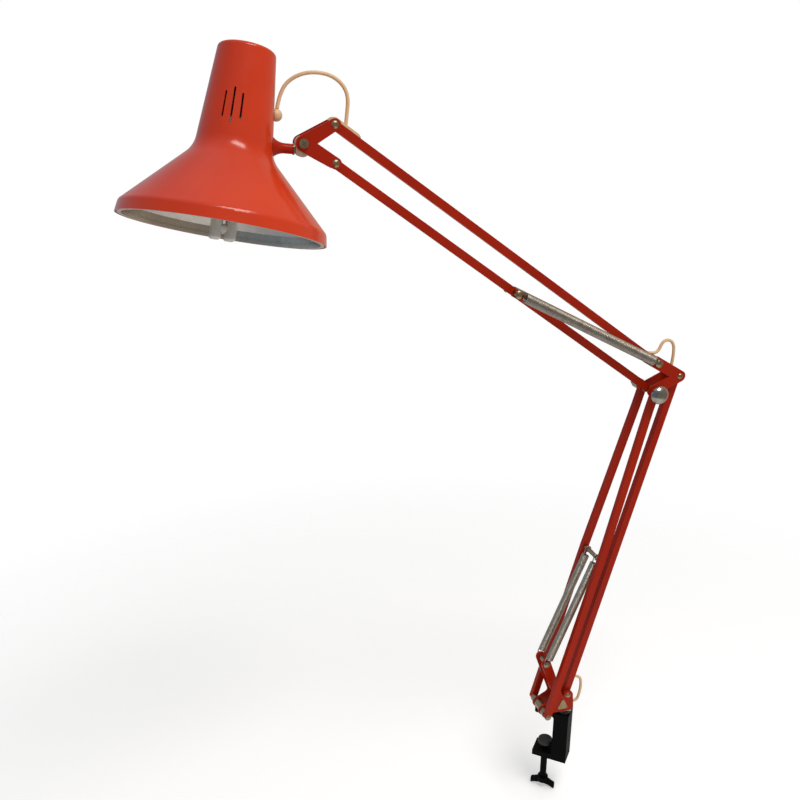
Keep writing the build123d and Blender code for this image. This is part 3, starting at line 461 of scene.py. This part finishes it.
def metal_group():
    """Worked metal: stretched scratches in roughness, tarnish in the colour and a slight unevenness."""
    tree, given, result = new_group(
        "worked_metal",
        [
            ("Colour", "Color", (0.6, 0.6, 0.6, 1.0)),
            ("Tarnish", "Color", (0.4, 0.35, 0.3, 1.0)),
            ("Rough Low", "Float", 0.2),
            ("Rough High", "Float", 0.4),
            ("Dents", "Float", 0.1),
            ("Grain", "Vector", (300.0, 300.0, 300.0)),
        ],
        [("Colour", "Color"), ("Roughness", "Float"), ("Normal", "Vector")],
    )
    place = tree.nodes.new("ShaderNodeTexCoord").outputs["Object"]
    stretched = tree.nodes.new("ShaderNodeVectorMath")
    stretched.operation = "MULTIPLY"
    tree.links.new(place, stretched.inputs[0])
    tree.links.new(given.outputs["Grain"], stretched.inputs[1])
    grain = noise_on(tree, stretched.outputs["Vector"], scale=1.0, detail=4.0, roughness=0.6)
    stain = remapped(tree, noise_on(tree, place, scale=130.0, detail=4.0, roughness=0.6), 0.45, 0.75)
    tree.links.new(
        mixed(tree, stain, given.outputs["Colour"], given.outputs["Tarnish"]),
        result.inputs["Colour"],
    )
    tree.links.new(
        remapped(tree, grain, 0.3, 0.7, given.outputs["Rough Low"], given.outputs["Rough High"]),
        result.inputs["Roughness"],
    )
    tree.links.new(bumped(tree, grain, given.outputs["Dents"], distance=0.0002), result.inputs["Normal"])
    return tree


def moulded_group():
    """Moulded plastic and rubber: a matt skin, handling marks and yellowing in patches."""
    tree, given, result = new_group(
        "moulded_skin",
        [
            ("Colour", "Color", (0.8, 0.7, 0.55, 1.0)),
            ("Soiled Colour", "Color", (0.6, 0.5, 0.35, 1.0)),
            ("Rough Low", "Float", 0.35),
            ("Rough High", "Float", 0.55),
            ("Skin", "Float", 0.1),
        ],
        [("Colour", "Color"), ("Roughness", "Float"), ("Normal", "Vector")],
    )
    place = tree.nodes.new("ShaderNodeTexCoord").outputs["Object"]
    soil = remapped(tree, noise_on(tree, place, scale=70.0, detail=5.0, roughness=0.62), 0.42, 0.78)
    tree.links.new(
        mixed(tree, soil, given.outputs["Colour"], given.outputs["Soiled Colour"]),
        result.inputs["Colour"],
    )
    mark = noise_on(tree, place, scale=260.0, detail=3.0)
    tree.links.new(
        remapped(tree, mark, 0.3, 0.7, given.outputs["Rough Low"], given.outputs["Rough High"]),
        result.inputs["Roughness"],
    )
    skin = noise_on(tree, place, scale=1500.0, detail=2.0)
    tree.links.new(bumped(tree, skin, given.outputs["Skin"], distance=0.0002), result.inputs["Normal"])
    return tree


sprayed_enamel = enamel_group()
worked_metal = metal_group()
moulded_skin = moulded_group()


def finish_material(name, group, values, **shader_values):
    """A material whose colour, roughness and normal come from a group and the rest from plain values."""
    material = bpy.data.materials.new(name)
    material.use_nodes = True
    tree = material.node_tree
    shader = tree.nodes["Principled BSDF"]
    pattern = tree.nodes.new("ShaderNodeGroup")
    pattern.node_tree = group
    for socket_name, value in values.items():
        pattern.inputs[socket_name].default_value = value
    tree.links.new(pattern.outputs["Colour"], shader.inputs["Base Color"])
    tree.links.new(pattern.outputs["Roughness"], shader.inputs["Roughness"])
    tree.links.new(pattern.outputs["Normal"], shader.inputs["Normal"])
    for socket_name, value in shader_values.items():
        shader.inputs[socket_name.replace("_", " ")].default_value = value
    return material


arm_enamel = finish_material(
    "red_arm_enamel",
    sprayed_enamel,
    {
        "Colour": srgb(168, 36, 11),
        "Deep Colour": srgb(156, 31, 9),
        "Gloss Low": 0.22,
        "Gloss High": 0.36,
        "Peel": 0.08,
    },
    Specular_IOR_Level=0.1,
    Coat_Weight=0.03,
    Coat_Roughness=0.12,
)
shade_enamel = finish_material(
    "orange_red_shade_enamel",
    sprayed_enamel,
    {
        "Colour": srgb(205, 58, 23),
        "Deep Colour": srgb(197, 52, 20),
        "Gloss Low": 0.16,
        "Gloss High": 0.26,
        "Peel": 0.05,
    },
    Specular_IOR_Level=0.3,
    Coat_Weight=0.15,
    Coat_Roughness=0.08,
)
clamp_enamel = finish_material(
    "black_clamp_enamel",
    sprayed_enamel,
    {
        "Colour": srgb(6, 6, 7),
        "Deep Colour": srgb(10, 10, 10),
        "Gloss Low": 0.5,
        "Gloss High": 0.65,
        "Peel": 0.15,
    },
    Specular_IOR_Level=0.05,
)
turned_steel = finish_material(
    "turned_steel",
    worked_metal,
    {
        "Colour": srgb(168, 152, 126),
        "Tarnish": srgb(140, 118, 88),
        "Rough Low": 0.22,
        "Rough High": 0.42,
        "Dents": 0.12,
        "Grain": (500.0, 500.0, 500.0),
    },
    Metallic=1.0,
)
spring_wire = finish_material(
    "drawn_spring_wire",
    worked_metal,
    {
        "Colour": srgb(182, 174, 162),
        "Tarnish": srgb(158, 146, 130),
        "Rough Low": 0.34,
        "Rough High": 0.48,
        "Dents": 0.06,
        "Grain": (900.0, 900.0, 900.0),
    },
    Metallic=1.0,
)
polished_dome = finish_material(
    "polished_knob_steel",
    worked_metal,
    {
        "Colour": srgb(170, 166, 158),
        "Tarnish": srgb(142, 134, 122),
        "Rough Low": 0.08,
        "Rough High": 0.2,
        "Dents": 0.04,
        "Grain": (260.0, 40.0, 260.0),
    },
    Metallic=1.0,
)
cast_metal = finish_material(
    "cast_knuckle_metal",
    worked_metal,
    {
        "Colour": srgb(218, 200, 174),
        "Tarnish": srgb(190, 168, 138),
        "Rough Low": 0.34,
        "Rough High": 0.55,
        "Dents": 0.4,
        "Grain": (700.0, 700.0, 700.0),
    },
    Metallic=0.6,
)
pale_plate = finish_material(
    "pale_plate_metal",
    worked_metal,
    {
        "Colour": srgb(164, 141, 106),
        "Tarnish": srgb(132, 105, 72),
        "Rough Low": 0.28,
        "Rough High": 0.46,
        "Dents": 0.06,
        "Grain": (60.0, 60.0, 900.0),
    },
    Metallic=1.0,
)
spun_reflector = finish_material(
    "spun_reflector_metal",
    worked_metal,
    {
        "Colour": srgb(196, 190, 180),
        "Tarnish": srgb(184, 176, 164),
        "Rough Low": 0.24,
        "Rough High": 0.34,
        "Dents": 0.02,
        "Grain": (120.0, 120.0, 120.0),
    },
    Metallic=1.0,
)
cream_sheath = finish_material(
    "cream_cord_sheath",
    moulded_skin,
    {
        "Colour": srgb(228, 190, 146),
        "Soiled Colour": srgb(216, 174, 128),
        "Rough Low": 0.36,
        "Rough High": 0.52,
        "Skin": 0.06,
    },
)
cream_moulding = finish_material(
    "cream_moulding",
    moulded_skin,
    {
        "Colour": srgb(226, 192, 150),
        "Soiled Colour": srgb(208, 168, 122),
        "Rough Low": 0.34,
        "Rough High": 0.5,
        "Skin": 0.08,
    },
)
dark_moulding = finish_material(
    "dark_moulding",
    moulded_skin,
    {
        "Colour": srgb(46, 44, 42),
        "Soiled Colour": srgb(66, 62, 58),
        "Rough Low": 0.4,
        "Rough High": 0.6,
        "Skin": 0.1,
    },
)
pad_rubber = finish_material(
    "pad_rubber",
    moulded_skin,
    {
        "Colour": srgb(34, 34, 34),
        "Soiled Colour": srgb(58, 55, 52),
        "Rough Low": 0.6,
        "Rough High": 0.8,
        "Skin": 0.3,
    },
)
lamp_moulding = finish_material(
    "white_lamp_moulding",
    moulded_skin,
    {
        "Colour": srgb(212, 207, 199),
        "Soiled Colour": srgb(196, 189, 178),
        "Rough Low": 0.25,
        "Rough High": 0.4,
        "Skin": 0.04,
    },
)
opal_glass = finish_material(
    "opal_lamp_glass",
    moulded_skin,
    {
        "Colour": srgb(206, 200, 191),
        "Soiled Colour": srgb(192, 185, 175),
        "Rough Low": 0.12,
        "Rough High": 0.2,
        "Skin": 0.0,
    },
    Coat_Weight=0.4,
    Coat_Roughness=0.05,
)
finishes = {
    "red_paint": arm_enamel,
    "shade_paint": shade_enamel,
    "black_paint": clamp_enamel,
    "black_rubber": pad_rubber,
    "dark_plastic": dark_moulding,
    "steel": turned_steel,
    "polished_steel": polished_dome,
    "cast_grey": cast_metal,
    "spring_steel": spring_wire,
    "pale_metal": pale_plate,
    "cream_plastic": cream_moulding,
    "cream_cord": cream_sheath,
    "bright_reflector": spun_reflector,
    "white_plastic": lamp_moulding,
    "lamp_glass": opal_glass,
}
for subpart in frame["record"]["subparts"]:
    node = nodes_by_name[subpart["node"]]
    node.data.materials.clear()
    node.data.materials.append(finishes[subpart["material_slot"]])
for piece in cords:
    piece.data.materials.append(cream_sheath)
for piece in springs:
    piece.data.materials.append(spring_wire)

# Floor: pale, faded out into the background all round and clear from below
FLOOR_LEVEL = -0.1165
FLOOR_REACH = 3.0
FLOOR_PAINT = (0.9, 0.9, 0.9, 1.0)
FLOOR_SHIFT = (0.12, 0.1, 0.0)
FADE_START = 0.45
FADE_END = 1.1
FLOOR_GLOW = 0.26
floor_mesh = bpy.data.meshes.new("studio_floor")
floor_mesh.from_pydata(
    [
        (-FLOOR_REACH, -FLOOR_REACH, FLOOR_LEVEL),
        (FLOOR_REACH, -FLOOR_REACH, FLOOR_LEVEL),
        (FLOOR_REACH, FLOOR_REACH, FLOOR_LEVEL),
        (-FLOOR_REACH, FLOOR_REACH, FLOOR_LEVEL),
    ],
    [],
    [(0, 1, 2, 3)],
)
floor = bpy.data.objects.new("studio_floor", floor_mesh)
scene.collection.objects.link(floor)
floor_material = bpy.data.materials.new("pale_floor")
floor_material.use_nodes = True
floor_tree = floor_material.node_tree
floor_shader = floor_tree.nodes["Principled BSDF"]
floor_shader.inputs["Base Color"].default_value = FLOOR_PAINT
floor_shader.inputs["Roughness"].default_value = 0.8
floor_shader.inputs["Specular IOR Level"].default_value = 0.1
floor_place = floor_tree.nodes.new("ShaderNodeTexCoord").outputs["Object"]
floor_shift = floor_tree.nodes.new("ShaderNodeMapping")
floor_shift.inputs["Location"].default_value = FLOOR_SHIFT
floor_tree.links.new(floor_place, floor_shift.inputs["Vector"])
floor_radius = floor_tree.nodes.new("ShaderNodeVectorMath")
floor_radius.operation = "LENGTH"
floor_tree.links.new(floor_shift.outputs["Vector"], floor_radius.inputs[0])
floor_fade = remapped(floor_tree, floor_radius.outputs["Value"], FADE_START, FADE_END, 1.0, 0.0)
floor_below = floor_tree.nodes.new("ShaderNodeNewGeometry").outputs["Backfacing"]
floor_tree.links.new(
    joined(floor_tree, "SUBTRACT", floor_fade, floor_below, clamp=True),
    floor_shader.inputs["Alpha"],
)
floor_shader.inputs["Emission Color"].default_value = (1.0, 1.0, 1.0, 1.0)
floor_seen = floor_tree.nodes.new("ShaderNodeLightPath").outputs["Is Camera Ray"]
floor_tree.links.new(
    remapped(floor_tree, floor_seen, 0.0, 1.0, to_high=FLOOR_GLOW),
    floor_shader.inputs["Emission Strength"],
)
floor_mesh.materials.append(floor_material)

# World: white to the camera and through glass, a dimmer room to gloss, and a soft fill for the rest
ROOM_BEHIND = 0.32
ROOM_AHEAD = 0.5
ROOM_ABOVE = 0.8
FILL_LEFT = 0.36
FILL_RIGHT = 0.7
world = bpy.data.worlds.new("studio")
scene.world = world
world.use_nodes = True
world_tree = world.node_tree
background = world_tree.nodes["Background"]
ray = world_tree.nodes.new("ShaderNodeLightPath").outputs
world_way = world_tree.nodes.new("ShaderNodeSeparateXYZ")
world_place = world_tree.nodes.new("ShaderNodeTexCoord").outputs["Generated"]
world_tree.links.new(world_place, world_way.inputs["Vector"])
walls = remapped(world_tree, world_way.outputs["Y"], -0.35, 0.35, ROOM_BEHIND, ROOM_AHEAD)
ceiling = remapped(world_tree, world_way.outputs["Z"], 0.45, 0.9, to_high=ROOM_ABOVE)
room = joined(world_tree, "MAXIMUM", walls, ceiling)
fill = remapped(world_tree, world_way.outputs["X"], -0.7, 0.5, FILL_LEFT, FILL_RIGHT)
to_camera = joined(world_tree, "MAXIMUM", ray["Is Camera Ray"], ray["Is Transmission Ray"])
to_gloss = joined(world_tree, "MULTIPLY", ray["Is Glossy Ray"], room)
to_matt = joined(world_tree, "MULTIPLY", ray["Is Diffuse Ray"], fill)
to_objects = joined(world_tree, "MAXIMUM", to_gloss, to_matt)
world_tree.links.new(
    joined(world_tree, "MAXIMUM", to_camera, to_objects),
    background.inputs["Strength"],
)

# Cool light from the left and warm from the right, in reflections only
white = plain_colour(world_tree, 1.0, 1.0, 1.0)
cool_light = plain_colour(world_tree, 0.72, 0.85, 1.0)
warm_light = plain_colour(world_tree, 1.0, 0.86, 0.7)
to_right = remapped(world_tree, world_way.outputs["X"], -0.4, 0.4)
room_colour = mixed(world_tree, to_right, cool_light, warm_light)
world_tree.links.new(
    mixed(world_tree, ray["Is Glossy Ray"], white, room_colour),
    background.inputs["Color"],
)


def area_lamp(name, place, target, size, watts, colour):
    """A square area lamp that faces a target point: pitched and turned by the arc tangents of its way."""
    data = bpy.data.lights.new(name, "AREA")
    data.size = size
    data.energy = watts
    data.color = colour
    lamp = bpy.data.objects.new(name, data)
    scene.collection.objects.link(lamp)
    lamp.location = place
    way = np.array(target) - np.array(place)
    yaw = np.arctan2(way[0], -way[1])
    pitch = np.arctan2(np.hypot(way[0], way[1]), -way[2])
    lamp.rotation_euler = (float(pitch), 0.0, float(yaw))


area_lamp(
    "key_window",
    place=(0.15, -0.85, 2.1),
    target=(-0.2, 0.0, 0.45),
    size=0.9,
    watts=31.0,
    colour=(1.0, 0.97, 0.93),
)
area_lamp(
    "fill_window",
    place=(0.9, -1.6, 0.8),
    target=(-0.2, 0.0, 0.5),
    size=0.3,
    watts=9.0,
    colour=(1.0, 0.97, 0.94),
)

scene.view_settings.view_transform = "Standard"
